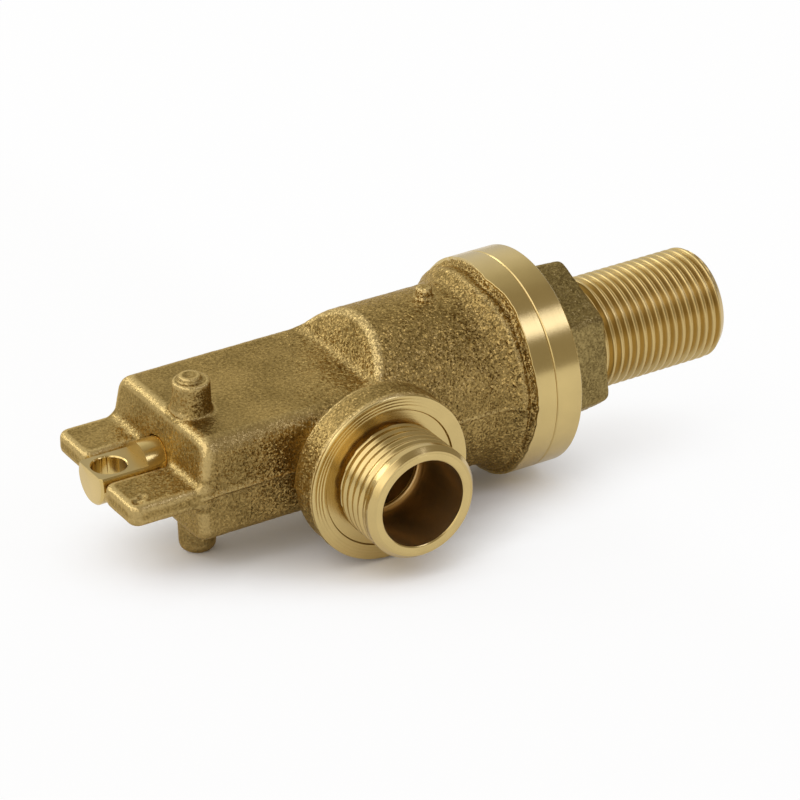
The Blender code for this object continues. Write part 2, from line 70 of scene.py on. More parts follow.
# Driving sizes in millimetres
PITCH = 1.337                       # three-eighths pipe thread
THREAD_RADIUS = 8.331
THREAD_INSIDE = 7.0                 # the sleeve's hidden inner radius
INLET_ROOT = 7.56
OUTLET_ROOT = 8.05
CORE_RADIUS = 7.42                  # the plain nipple under a thread
NECK_FRONT = -24.9
NECK_WIDTH = 12.9                   # from the middle to either side
NECK_HEIGHT = 7.9                   # from the middle to top or bottom
BARREL_RADIUS = 13.42
BOSS_RADIUS = 12.22
FLANGE_RADIUS = 16.0
FLANGE_START = 27.62
BODY_END = 30.7
COVER_START = 30.75
COVER_END = 34.95
HEXAGON_END = 43.05
HEXAGON_FLATS = 22.0                # from flat to flat, at the flange
INLET_END = 65.35
OUTLET_FACE = -21.4
OUTLET_END = -29.9
STEM_END = -34.7
STEM_RADIUS = 3.55
FLAT_HEIGHT = 1.55                  # of the stem's milled flat above the axis
EYE_RADIUS = 2.45
PEG_X, PEG_Y = -20.1, -2.8
PIP_X = 18.7

cover_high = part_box("inlet_cover")[1]
stem_low, stem_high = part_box("stem")
CROSS = Vector((
    cover_high.x - INLET_END * MM, (stem_low.y + stem_high.y) / 2, (stem_low.z + stem_high.z) / 2))

AXES = {"x": np.eye(3), "y": np.eye(3)[[1, 2, 0]]}   # an axis and two directions across it
CORNERS = [(dx, dy, dz) for dx in (0, 1) for dy in (0, 1) for dz in (0, 1)]


# Meshes

def linked(name, data):
    """A new object in the scene."""
    item = bpy.data.objects.new(name, data)
    bpy.context.scene.collection.objects.link(item)
    return item


def add_mesh(name, points, faces, material, body="housing"):
    """A piece from points in millimetres and rows of corners; it rides on a body."""
    mesh = bpy.data.meshes.new(name)
    points = np.asarray(points, float) * MM + np.array(CROSS)
    faces = np.asarray(faces, np.int32)
    mesh.vertices.add(len(points))
    mesh.vertices.foreach_set("co", points.astype(np.float32).ravel())
    mesh.loops.add(faces.size)
    mesh.loops.foreach_set("vertex_index", faces.ravel())
    mesh.polygons.add(len(faces))
    mesh.polygons.foreach_set("loop_start", np.arange(0, faces.size, faces.shape[1], dtype=np.int32))
    mesh.polygons.foreach_set("use_smooth", np.ones(len(faces), bool))
    mesh.update(calc_edges=True)
    mesh.validate()
    mesh.materials.append(material)
    item = linked(name, mesh)
    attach(item, body)
    return item


def settle(item):
    """Applies the modifiers of an object."""
    bpy.context.view_layer.update()
    mesh = bpy.data.meshes.new_from_object(item.evaluated_get(bpy.context.evaluated_depsgraph_get()))
    item.modifiers.clear()
    item.data = mesh


def weigh_normals(item):
    """Shading that keeps large faces flat beside their small eased edges."""
    step = item.modifiers.new("weights", "WEIGHTED_NORMAL")
    step.keep_sharp = True
    settle(item)


def outward(item):
    """Faces of a closed mesh turned to point out."""
    bm = bmesh.new()
    bm.from_mesh(item.data)
    bmesh.ops.remove_doubles(bm, verts=bm.verts, dist=2e-7)
    bmesh.ops.dissolve_degenerate(bm, edges=bm.edges, dist=2e-7)
    bmesh.ops.recalc_face_normals(bm, faces=bm.faces)
    bm.to_mesh(item.data)
    bm.free()


def spokes(axis, angle):
    """The axis, and the unit directions across it at each angle."""
    along, side, up = AXES[axis]
    return along, np.outer(np.cos(angle), side) + np.outer(np.sin(angle), up)


def band(first, second, sides):
    """Quads between two rings of a row of rings."""
    i = np.arange(sides)
    j = (i + 1) % sides
    return np.stack([first * sides + i, first * sides + j, second * sides + j, second * sides + i], 1)


def eased(profile, amount, closed):
    """The profile with each corner turned into a small arc."""
    steps = 3
    points = [np.array(p, float) for p in profile]
    count = len(points)
    result = []
    for i, point in enumerate(points):
        if not closed and i in (0, count - 1):
            result.append(point)
            continue
        before, after = points[i - 1], points[(i + 1) % count]
        a, b = before - point, after - point
        la, lb = np.linalg.norm(a), np.linalg.norm(b)
        if abs(a[0] * b[1] - a[1] * b[0]) < 1e-3 * la * lb:
            result.append(point)
            continue
        reach = min(amount, la * 0.45, lb * 0.45)
        start, end = point + a / la * reach, point + b / lb * reach
        for j in range(steps + 1):
            t = j / steps
            result.append((1 - t) ** 2 * start + 2 * t * (1 - t) * point + t * t * end)
    return result


def turned(name, profile, material, axis="x", segments=240, ease=0.05, body="housing", edge=None):
    """A turned form from a profile of (place, radius) that closes on itself, or begins and ends on the axis.

    edge, where given, tells how far a ring is shifted along the axis at each angle.
    """
    solid = profile[0][1] == 0
    rows = eased(profile, ease, closed=not solid)
    angle = np.linspace(0, 2 * np.pi, segments, endpoint=False)
    along, across = spokes(axis, angle)
    points = []
    for place, radius in rows:
        shift = edge(place, angle) if edge else np.zeros(segments)
        points.append(np.outer(place + shift, along) + across * radius)
    count = len(rows)
    faces = [band(k, (k + 1) % count, segments) for k in range(count - 1 if solid else count)]
    item = add_mesh(name, np.concatenate(points), np.concatenate(faces), material, body)
    outward(item)
    item.data.set_sharp_from_angle(angle=math.radians(32))
    weigh_normals(item)
    return item


def thread_sleeve(name, start, end, root, plain, blend, chamfer, material, axis="x"):
    """A helical thread from its inner end to its open end, with flat crests and narrow roots.

    plain is the smooth length at the open end, and the groove fades out over the length blend before it.
    """
    segments, per_pitch = 160, 20
    crest, flank, softness = 0.12, 0.31, 0.035   # shares of the pitch
    length = abs(end - start)
    direction = 1 if end > start else -1
    rows = (int(length / PITCH) + 3) * per_pitch
    last = rows + 1
    angle = np.linspace(0, 2 * np.pi, segments, endpoint=False)
    turns = np.arange(last)[:, None] / per_pitch
    place = np.clip((turns - 1.5 + angle[None] / (2 * np.pi)) * PITCH, 0, length)
    from_crest = np.abs(turns % 1.0 - 0.5)
    shifts = (-softness, 0, softness)
    groove = sum(np.clip((from_crest + shift - crest) / flank, 0, 1) for shift in shifts) / len(shifts)
    fade = np.clip((length - place - plain) / blend, 0, 1) * np.clip(place / 0.3, 0, 1)
    radius = THREAD_RADIUS - (THREAD_RADIUS - root) * groove * fade * fade * (3 - 2 * fade)
    open_end = chamfer * np.clip(1 - (length - place) / (chamfer * 1.3), 0, 1)
    inner_end = 0.8 * np.clip(1 - place / 0.2, 0, 1)
    radius = np.minimum(radius, THREAD_RADIUS - open_end)
    radius = np.minimum(radius, THREAD_RADIUS - inner_end)
    along, across = spokes(axis, angle)
    outer = (start + direction * place)[..., None] * along + across[None] * radius[..., None]
    caps = [(at * along + across * THREAD_INSIDE)[None] for at in (start, end)]
    points = np.concatenate([caps[0], outer, caps[1]]).reshape(-1, 3)
    i = np.arange(segments)
    j = (i + 1) % segments
    faces = []
    for r in range(rows + 3):
        n = (r + 1) % (rows + 3)
        low, high = r * segments + j, n * segments + j
        if 1 <= r < last:
            # Where the circle closes, a row meets the one that lies a whole turn further on
            low = np.where(j == 0, min(r + per_pitch, last) * segments, low)
            high = np.where(j == 0, min(n + per_pitch, last) * segments, high)
        faces.append(np.stack([r * segments + i, low, high, n * segments + i], 1))
    item = add_mesh(name, points, np.concatenate(faces), material)
    outward(item)
    item.data.set_sharp_from_angle(angle=math.radians(50))
    return item


# Distance fields

def smooth_min(a, b, width):
    """The union of two fields with a fillet."""
    h = np.clip(0.5 + 0.5 * (b - a) / width, 0, 1)
    return b * (1 - h) + a * h - width * h * (1 - h)


def smooth_max(a, b, width):
    """The common part of two fields with a rounded edge."""
    return -smooth_min(-a, -b, width)


def rounded_rect(u, v, half_u, half_v, radius):
    """Distance to a rectangle with round corners."""
    qu, qv = np.abs(u) - (half_u - radius), np.abs(v) - (half_v - radius)
    return np.hypot(np.maximum(qu, 0), np.maximum(qv, 0)) + np.minimum(np.maximum(qu, qv), 0) - radius


def revolved(along, across, profile):
    """Distance to a turned form whose radius is given along its axis, corrected for slope."""
    places, radii = np.array(profile, np.float32).T
    radius = np.interp(along, places, radii).astype(np.float32)
    middles = (places[1:] + places[:-1]) / 2
    slope = np.interp(along, middles, np.diff(radii) / np.maximum(np.diff(places), 1e-3))
    return (across - radius) / np.sqrt(1 + np.minimum(slope * slope, 4)).astype(np.float32)


def disc(along, across, start, end, radius):
    """Distance to a round plug."""
    return np.maximum(across - radius, np.abs(along - (start + end) / 2) - (end - start) / 2)


def between(table, cell, part):
    """What a table gives between its entries, for whole steps and the rest of a step."""
    value = 0
    for dx, dy, dz in CORNERS:
        weight = np.abs(1 - dx - part[:, 0]) * np.abs(1 - dy - part[:, 1]) * np.abs(1 - dz - part[:, 2])
        value = value + weight * table(cell[:, 0] + dx, cell[:, 1] + dy, cell[:, 2] + dz)
    return value


def lattice(points, size, seed):
    """Smooth noise from -1 to 1 with bumps of a given size."""
    side = 48
    table = np.random.default_rng(seed).uniform(-1, 1, (side, side, side)).astype(np.float32)
    scaled = points / size + 500.0
    cell = np.floor(scaled).astype(np.int64)
    part = scaled - cell
    return between(lambda i, j, k: table[i % side, j % side, k % side], cell, part * part * (3 - 2 * part))


def sampled(field, points, low):
    """The field at any point, between its samples."""
    at = (points - low) / CELL
    cell = np.clip(np.floor(at).astype(np.int64), 0, np.array(field.shape) - 2)
    return between(lambda i, j, k: field[i, j, k], cell, at - cell)


def grid(low, high):
    """The coordinates of the samples that fill a box."""
    axes = [np.arange(a, b + CELL, CELL, dtype=np.float32) for a, b in zip(low, high)]
    return np.meshgrid(*axes, indexing="ij")


def crossings(field, cells):
    """For each cell, the middle of the places where the field's zero surface crosses the cell's edges."""
    total = np.zeros((len(cells), 3))
    hits = np.zeros(len(cells))
    for axis in range(3):
        for a, b in ((0, 0), (0, 1), (1, 0), (1, 1)):
            first = np.zeros(3, int)
            first[(axis + 1) % 3], first[(axis + 2) % 3] = a, b
            second = first.copy()
            second[axis] = 1
            p, q = cells + first, cells + second
            va, vb = field[p[:, 0], p[:, 1], p[:, 2]], field[q[:, 0], q[:, 1], q[:, 2]]
            crossed = (va < 0) != (vb < 0)
            t = np.where(crossed, va / np.where(crossed, va - vb, 1), 0)
            total[crossed] += (p + (q - p) * t[:, None])[crossed]
            hits += crossed
    return total / hits[:, None]


def surface_of(field, low):
    """Points and quads of the field's zero surface, outward: one point in each cell that it passes."""
    inside = field < 0
    size = np.array(field.shape) - 1
    count = np.zeros(size, np.uint8)
    for dx, dy, dz in CORNERS:
        count += inside[dx:size[0] + dx, dy:size[1] + dy, dz:size[2] + dz]
    active = (count > 0) & (count < 8)
    cells = np.argwhere(active)
    index = np.full(active.shape, -1, np.int64)
    index[active] = np.arange(len(cells))
    quads = []
    for axis in range(3):
        u, v = (axis + 1) % 3, (axis + 2) % 3
        near = [slice(1, -1)] * 3
        far = [slice(1, -1)] * 3
        near[axis], far[axis] = slice(0, -1), slice(1, None)
        change = inside[tuple(near)].astype(np.int8) - inside[tuple(far)].astype(np.int8)
        at = np.argwhere(change != 0)
        sign = change[change != 0]
        at[:, [u, v]] += 1
        corners = []
        for du, dv in ((-1, -1), (0, -1), (0, 0), (-1, 0)):
            c = at.copy()
            c[:, u] += du
            c[:, v] += dv
            corners.append(index[c[:, 0], c[:, 1], c[:, 2]])
        quad = np.stack(corners, 1)
        quad[sign < 0] = quad[sign < 0][:, ::-1]
        quads.append(quad)
    return crossings(field, cells) * CELL + low, np.concatenate(quads)


def settled(field, points, low):
    """Points drawn onto the true zero surface, with the surface's directions."""
    rounds = 2
    slopes = np.gradient(field, CELL)
    for i in range(rounds + 1):
        normal = np.stack([sampled(s, points, low) for s in slopes], 1)
        length = np.maximum(np.linalg.norm(normal, axis=1), 1e-6)
        if i < rounds:
            step = np.clip(sampled(field, points, low) / length, -0.4 * CELL, 0.4 * CELL)
            points = points - normal / length[:, None] * step[:, None]
    return points, normal / length[:, None]


# Castings

# Degrees round the main axis from the top, and how far the flange's ragged edge lies from its middle place
RAGGED_EDGE = [
    (-180, -0.6), (-130, -0.3), (-70, -0.5), (-30, -0.2), (-2, -0.6), (13, -1.05), (26, -0.12), (37, 0.2),
    (48, -0.15), (66, -0.27), (73, -0.1), (83, 0.0), (90, -0.08), (98, -0.33), (110, -0.7), (128, -0.97),
    (180, -0.6),
]
# The same degrees, and where the cast ridge beside the flange runs: it leaves the flange towards the top
RIDGE = [(-70, 26.1), (-20, 24.7), (0, 24.7), (9, 24.8), (18, 25.1), (32, 25.8), (45, 26.1), (66, 26.2)]


def round_from_top(table, angle):
    """A value from a table of degrees from the top towards the outlet, for an angle from +Y to +Z."""
    degrees = (np.degrees(angle - np.pi / 2) + 180.0) % 360.0 - 180.0
    return np.interp(degrees, *zip(*table))


def neck_field(x, y, z):
    """The oblong neck; its sides lean in and its front leans back, more so above the middle."""
    lean = np.where(z > 0, 1.6, 0.7)
    share = np.abs(z) / NECK_HEIGHT
    width = NECK_WIDTH - 0.35 * np.minimum(share, 1.5)
    section = rounded_rect(y * NECK_WIDTH / width, z, NECK_WIDTH, NECK_HEIGHT, 2.5)
    front = NECK_FRONT + lean * np.minimum(share, 1.4) - x
    return smooth_max(smooth_max(section, front, 1.3), x - 9.4, 3.0)


def barrel_field(x, y, z):
    """The barrel with a slanting ramp at its left, and a hollow shoulder, ridge and groove at its right."""
    start, rise, dip = 22.0, 4.2, 0.7   # the shoulder's start, and the lengths up to the ridge and the groove
    angle = np.arctan2(z, y)
    ridge = round_from_top(RIDGE, angle)
    groove = 27.15 + round_from_top(RAGGED_EDGE, angle)
    shoulder = start + (x - start) * rise / (ridge - start)
    moved = np.where(x < ridge, shoulder, start + rise + (x - ridge) * dip / (groove - ridge))
    moved = np.where(x < start, x, np.where(x > groove, x - groove + start + rise + dip, moved))
    barrel = revolved(moved, np.hypot(y, z), [
        (0, BARREL_RADIUS), (22.2, BARREL_RADIUS), (23.2, 13.52), (24.0, 13.76), (24.8, 14.15), (25.4, 14.6),
        (25.8, 14.9), (26.2, 15.08), (26.5, 15.0), (26.75, 14.82), (26.9, 14.76), (27.05, 14.95),
        (27.2, 15.4), (27.4, 15.75), (27.6, 15.85), (31, 15.85),
    ])
    ramp_slope = 0.6
    slant = (4.4 + (np.abs(z) - NECK_HEIGHT) * ramp_slope - x) / math.sqrt(1 + ramp_slope ** 2)
    return np.maximum(smooth_max(barrel, slant, 0.8), x - 28.4)


def boss_field(x, y, z):
    """The outlet's round boss, flared where it comes out of the casting's side."""
    out = -y
    boss = revolved(out, np.hypot(x, z), [
        (2, 7.4), (12.3, 7.4), (14.1, 8.8), (15.2, 10.64), (16.0, 11.74), (16.6, 12.24),
        (17.3, 12.34), (21.25, BOSS_RADIUS), (24, BOSS_RADIUS),
    ])
    return smooth_max(np.maximum(boss, out - 20.95), 2.0 - out, 3.0)


def ear_field(x, y, z, side, length, corner):
    """A flat ear beside the stem, at -Y or +Y."""
    low_x, high_x = NECK_FRONT - length, -22.0
    low_y, high_y = 4.1, 12.75
    half_x, half_y = (high_x - low_x) / 2, (high_y - low_y) / 2
    plan = rounded_rect(x - (low_x + high_x) / 2, y - (low_y + high_y) / 2 * side, half_x, half_y, corner)
    return smooth_max(plan, np.abs(z) - 1.55, 0.95)


def peg_field(x, y, height, length, ease):
    """A round peg with a slight taper; height runs outwards from the middle of the neck."""
    taper = 2.7 - 0.02 * (height - NECK_HEIGHT)
    peg = smooth_max(np.hypot(x - PEG_X, y - PEG_Y) - taper, height - NECK_HEIGHT - length, ease)
    return np.maximum(peg, 4.0 - height)


def upper_peg_field(x, y, z):
    """The upper peg, with a dimpled button on its end and a low ring round its foot."""
    length = 4.7
    peg = peg_field(x, y, z, length, 0.35)
    off_button = np.hypot(x + 20.2, y + 2.6)
    rim = z - NECK_HEIGHT - length - 0.72 + 0.2 * np.exp(-(off_button / 0.9) ** 2)
    button = smooth_max(off_button - 1.7 + 0.3 * (z - 12.6), rim, 0.2)
    peg = smooth_min(peg, np.maximum(button, 8.0 - z), 0.12)
    foot = smooth_max(np.hypot(x - PEG_X, y - PEG_Y) - 2.82, z - 8.45, 0.2)
    return np.minimum(peg, np.maximum(foot, 6.0 - z))


def seam_height(x, y, z):
    """The parting line: a fine ridge on a small step, on the neck's and barrel's sides."""
    seam = 0.24 * np.exp(-(z / 0.27) ** 2) - 0.2 / (1 + np.exp(np.clip(z / 0.1, -30, 30)))
    share = np.clip((np.abs(y) - 9.0) / 1.5, 0, 1) * np.clip((20.3 - np.abs(y)) / 0.5, 0, 1)
    share = share * np.clip((x + 25.0) / 2.0, 0, 1) * (x < 26.2)
    return seam * share * np.interp(x, [-12, 2], [1.15, 0.8])


def casting_field(x, y, z):
    """Neck, barrel, boss, ears, pegs and pip, blended with the fillets of a casting."""
    solid = smooth_min(neck_field(x, y, z), barrel_field(x, y, z), 0.9)
    solid = smooth_min(solid, boss_field(x, y, z), 1.8)
    for side, length, corner in ((-1, 10.0, 1.5), (1, 8.4, 1.7)):
        solid = smooth_min(solid, ear_field(x, y, z, side, length, corner), 1.1)
    solid = smooth_min(solid, upper_peg_field(x, y, z), 0.35)
    solid = smooth_min(solid, peg_field(x, y, -z, 5.7, 1.4), 0.6)
    pip_radius, pip_top = 1.15, 14.9
    pip = smooth_max(np.hypot(x - PIP_X, y) - pip_radius, z - pip_top, 0.35)
    solid = smooth_min(solid, np.maximum(pip, 8.0 - z), 0.5)
    solid = solid - seam_height(x, y, z)
    dents = ((-33.6, 11.2, 1.9, 0.75), (-33.2, -11.0, 1.9, 0.8), (-32.2, -10.2, 1.85, 0.6))
    for dent_x, dent_y, dent_z, radius in dents:
        away = np.sqrt((x - dent_x) ** 2 + (y - dent_y) ** 2 + (z - dent_z) ** 2)
        solid = smooth_max(solid, radius - away, 0.3)
    return solid


def hollow_field(x, y, z):
    """The machined bores, each with its start, end and radius, and the cone that leads into the chamber."""
    rho = np.hypot(y, z)
    around = np.hypot(x, z)
    main = [
        (-40, -15, 3.67),           # stem hole
        (-19.3, -8.35, 5.9),        # packing space
        (-8.35, -7.15, 6.45),       # groove of the retaining ring
        (-8.0, 6.5, 6.4),           # passage
        (8.2, 40, 10.2),            # chamber
        (23.75, 40, 11.05),         # recess for the cover's spigot
        (29.75, 40, 13.15),         # recess for the gasket
    ]
    outlet = [
        (-19.2, -1.0, 5.65),        # port
        (-40, -19.2, 6.9),          # room for the nipple's own wall
    ]
    cone = revolved(x, rho, [(5.5, 6.4), (7.8, 8.0), (8.3, 10.2), (9.3, 10.2)])
    field = np.maximum(cone, np.abs(x - 7.4) - 1.9)
    for bore in main:
        field = np.minimum(field, disc(x, rho, *bore))
    for bore in outlet:
        field = np.minimum(field, disc(y, around, *bore))
    return field


def wear_and_highlight_of(field, points, normal, low):
    """How far each point is brightened, by handling wear on outer edges and by painted highlight on edges
    that face up and on hollow fillets: from 0 on flat ground to 1 on upper outer edges.
    """
    reach = 0.5
    total = -6 * sampled(field, points, low)
    for step in reach * np.eye(3):
        total = total + sampled(field, points + step, low) + sampled(field, points - step, low)
    curve = total / reach ** 2
    # Hollow fillets get some brightening too: a painted highlight where they catch the light.
    edge = np.clip((curve - 0.25) / 0.45, 0, 1) + 0.45 * np.clip((-curve - 0.25) / 0.45, 0, 1)
    # Edges that face up get more: a painted highlight, not wear.
    upward = 0.25 + 0.75 * np.clip(normal[:, 2] + 0.35, 0, 1)
    return edge * upward * np.interp(points[:, 0], [21, 24], [1.0, 0.4])


def grain_share(points, wall, wear_and_highlight):
    """The share of the grain that each point keeps: none on machined faces, less on neck, pegs and pip."""
    x, y, z = points.T
    keep = np.clip((wall - 0.15) / 0.6, 0, 1)
    keep *= np.clip((20.9 + y) / 0.3, 0, 1) * np.clip((28.3 - x) / 0.1, 0, 1)
    keep *= np.interp(x, [-24, -14, -6, 10, 25.5, 26.5], [0.55, 0.42, 1.1, 1.3, 1.3, 0.65])
    on_peg = (np.hypot(x - PEG_X, y - PEG_Y) < 3.4) & (np.abs(z) > 8.3)
    keep *= np.where(on_peg, 0.4, 1.0) * (1 - 0.1 * wear_and_highlight)
    return keep * np.where(np.hypot(x - PIP_X, y) < 1.6, 0.5, 1.0)


def grainy(points, normal, keep):
    """The casting's rough skin: sand grain, larger pits and a slow unevenness."""
    rough = 0.022 * lattice(points, 0.45, 1) + 0.02 * lattice(points, 0.9, 2)
    rough += 0.02 * lattice(points, 2.2, 3) + 0.05 * lattice(points, 7.0, 4)
    return points + normal * (rough * keep)[:, None]


def kept_in_box(points):
    """Points of the casting held inside the solids' box, and inside the turned flange."""
    most, left, half_height = FLANGE_RADIUS - 0.1, -34.88, 15.99
    rho = np.hypot(points[:, 1], points[:, 2])
    inset = np.where((rho > most) & (points[:, 0] > 26.0), most / np.maximum(rho, 1), 1.0)
    points[:, 1] *= inset
    points[:, 2] *= inset
    points[:, 0] = np.clip(points[:, 0], left, None)
    points[:, 2] = np.clip(points[:, 2], -half_height, half_height)
    return points


def make_casting():
    """The body casting with its bores, and for its material how far each point is brightened, by wear and by
    painted highlight, and how calm it is.
    """
    low, high = np.array((-35.7, -21.8, -16.6)), np.array((29.0, 16.6, 16.6))
    x, y, z = grid(low, high)
    solid = casting_field(x, y, z)
    hollow = hollow_field(x, y, z)
    field = np.maximum(solid, -hollow).astype(np.float32)
    points, faces = surface_of(field, low)
    points, normal = settled(field, points, low)
    wear_and_highlight = wear_and_highlight_of(solid.astype(np.float32), points, normal, low)
    wall = sampled(hollow.astype(np.float32), points, low)
    points = kept_in_box(grainy(points, normal, grain_share(points, wall, wear_and_highlight)))
    item = add_mesh("body_casting", points, faces, CAST)
    calm = 0.25 * wear_and_highlight + np.interp(points[:, 0], [-16, -4, 8], [0.33, 0.0, -0.55])
    for label, values in (("wear_and_highlight", wear_and_highlight), ("calm", calm)):
        store = item.data.attributes.new(label, "FLOAT", "POINT")
        store.data.foreach_set("value", values.astype(np.float32))
    item.data.materials.append(BORE)
    machined = (wall[faces].mean(1) < 0.1).astype(np.int32)
    item.data.polygons.foreach_set("material_index", machined)
    return item


def make_hexagon():
    """The cover's cast hexagon: drafted sides, eased edges and a cone across its outer corners."""
    first_side, round_off = 113, 0.9    # degrees from +Y to +Z, and millimetres
    low, high = np.array((34.0, -13.6, -13.6)), np.array((44.0, 13.6, 13.6))
    x, y, z = grid(low, high)
    apothem = HEXAGON_FLATS / 2 - 0.42 * np.clip((x - COVER_END) / 8.1, 0, 1)
    sides = []
    for i in range(3):
        angle = math.radians(first_side + 60 * i)
        sides.append(np.abs(y * math.cos(angle) + z * math.sin(angle)) - apothem)
    field = smooth_max(smooth_max(sides[0], sides[1], round_off), sides[2], round_off)
    field = smooth_max(field, x - HEXAGON_END, round_off)
    rho = np.hypot(y, z)
    field = smooth_max(field, (rho + (x - HEXAGON_END) * 0.8 - 12.35) / 1.28, 0.6)
    field = np.maximum(np.maximum(field, 34.6 - x), THREAD_INSIDE - rho).astype(np.float32)
    points, faces = surface_of(field, low)
    points, normal = settled(field, points, low)
    rho = np.hypot(points[:, 1], points[:, 2])
    keep = np.clip((rho - 7.4) / 0.5, 0, 1) * np.clip((points[:, 0] - 34.7) / 0.2, 0, 1)
    # Its material is the darker copy of the cast brass, a painted shade.
    return add_mesh("cover_hexagon", grainy(points, normal, keep), faces, SHADED_CAST_HEXAGON)


# Materials

def feed(tree, socket, value):
    """Links a socket to another one, or sets it to a plain value."""
    if isinstance(value, bpy.types.NodeSocket):
        tree.links.new(value, socket)
    else:
        socket.default_value = value


def node(tree, kind, *inputs, **values):
    """A node with its settings; inputs are given in their order, where None leaves one alone, or by name."""
    made = tree.nodes.new(kind)
    for key, value in values.items():
        if key in made.inputs:
            feed(tree, made.inputs[key], value)
        else:
            setattr(made, key, value)
    for socket, value in zip(made.inputs, inputs):
        if value is not None:
            feed(tree, socket, value)
    return made


def calc(tree, operation, *inputs):
    """What a sum with plain numbers gives."""
    return node(tree, "ShaderNodeMath", *inputs, operation=operation).outputs[0]


def vector_calc(tree, operation, *inputs):
    """What a sum with vectors gives."""
    made = node(tree, "ShaderNodeVectorMath", *inputs, operation=operation)
    return made.outputs["Value" if operation == "DOT_PRODUCT" else "Vector"]


def map_range(tree, value, low, high, to_low, to_high, **values):
    """The value, taken from one range to another."""
    return node(tree, "ShaderNodeMapRange", value, low, high, to_low, to_high, **values).outputs[0]


def noise(tree, where, scale, detail, **values):
    """Smooth noise from 0 to 1; scale counts its bumps in a metre."""
    return node(tree, "ShaderNodeTexNoise", where, Scale=scale, Detail=detail, **values).outputs["Fac"]


def attribute(tree, name):
    """A number that the mesh keeps for each of its points."""
    return node(tree, "ShaderNodeAttribute", attribute_name=name).outputs["Fac"]


def ramp(tree, value, stops):
    """A colour that runs through stops, each a place and a colour."""
    made = node(tree, "ShaderNodeValToRGB", value)
    elements = made.color_ramp.elements
    elements[0].position, elements[0].color = stops[0][0], (*stops[0][1], 1)
    elements[1].position, elements[1].color = stops[-1][0], (*stops[-1][1], 1)
    for place, colour in stops[1:-1]:
        elements.new(place).color = (*colour, 1)
    return made.outputs["Color"]


def tinted(tree, value, colour, least):
    """The colour, darkened down to a share of itself where the value is low."""
    return ramp(tree, value, [(0.3, tuple(c * least for c in colour)), (0.7, colour)])


def object_place(tree):
    """The place of each point of the surface, in the object's own coordinates."""
    return node(tree, "ShaderNodeTexCoord").outputs["Object"]


def new_material(name, build):
    """A material whose shader takes what the build function gives for its inputs."""
    material = bpy.data.materials.new(name)
    material.use_nodes = True
    tree = material.node_tree
    shader = tree.nodes["Principled BSDF"]
    for key, value in build(tree).items():
        feed(tree, shader.inputs[key], value)
    return material


def cast_material(name, dark, light):
    """Sand-cast brass: small facets left by the sand, each tilted its own way so that some catch a lamp.

    The neck's front part is darkened as a painted shade. One attribute brightens rubbed edges, partly wear
    and partly painted highlight, and calm lessens the tilt.
    """
    def build(tree):
        where = object_place(tree)
        patches = noise(tree, where, 160.0, 3.0)
        grain = noise(tree, where, 2600.0, 2.0, Roughness=0.6)
        mottle = calc(tree, "MULTIPLY_ADD", patches, 0.35, calc(tree, "MULTIPLY", grain, 0.65))
        colour = ramp(tree, mottle, [(0.38, dark), (0.62, light)])
        x = node(tree, "ShaderNodeSeparateXYZ", where).outputs["X"]
        along = map_range(tree, x, CROSS.x - 0.03, CROSS.x, 0.0, 1.0)
        # Painted shade: the colour is darkened by 13% across the neck's front part, from about 27 to 13 mm
        # before the cross.
        full, shaded_tone = (1, 1, 1), (0.87, 0.87, 0.87)
        painted_shade = ramp(tree, along, [(0.1, full), (0.17, shaded_tone), (0.45, shaded_tone), (0.57, full)])
        # Rubbed edges mix towards a brighter brass: handling wear, with painted highlight where edges face up
        # and in hollow fillets.
        wear_and_highlight_colour = node(tree, "ShaderNodeMix", attribute(tree, "wear_and_highlight"), data_type="RGBA")
        colour_a, colour_b, mixed = 6, 7, 2     # sockets of the mix node, which repeats its names
        feed(tree, wear_and_highlight_colour.inputs[colour_a], vector_calc(tree, "MULTIPLY", colour, painted_shade))
        feed(tree, wear_and_highlight_colour.inputs[colour_b], (0.58, 0.43, 0.18, 1.0))

        facets = node(tree, "ShaderNodeTexVoronoi", where, Scale=4500.0).outputs["Color"]
        tilt = vector_calc(tree, "MULTIPLY_ADD", facets, (0.7, 0.7, 0.7), (-0.35, -0.35, -0.35))
        strength = calc(tree, "SUBTRACT", 1.0, attribute(tree, "calm"))
        less = vector_calc(tree, "SCALE", tilt, None, None, strength)
        normal = node(tree, "ShaderNodeNewGeometry").outputs["Normal"]
        tilted = vector_calc(tree, "NORMALIZE", vector_calc(tree, "ADD", less, normal))
        bump = node(tree, "ShaderNodeBump", Strength=0.7, Distance=0.00014, Height=grain, Normal=tilted)
        return {
            "Base Color": wear_and_highlight_colour.outputs[mixed], "Metallic": 1.0,
            "Specular Tint": (0.94, 0.81, 0.59, 1.0),
            "Roughness": map_range(tree, grain, 0.3, 0.7, 0.42, 0.24), "Normal": bump.outputs[0],
        }
    return new_material(name, build)


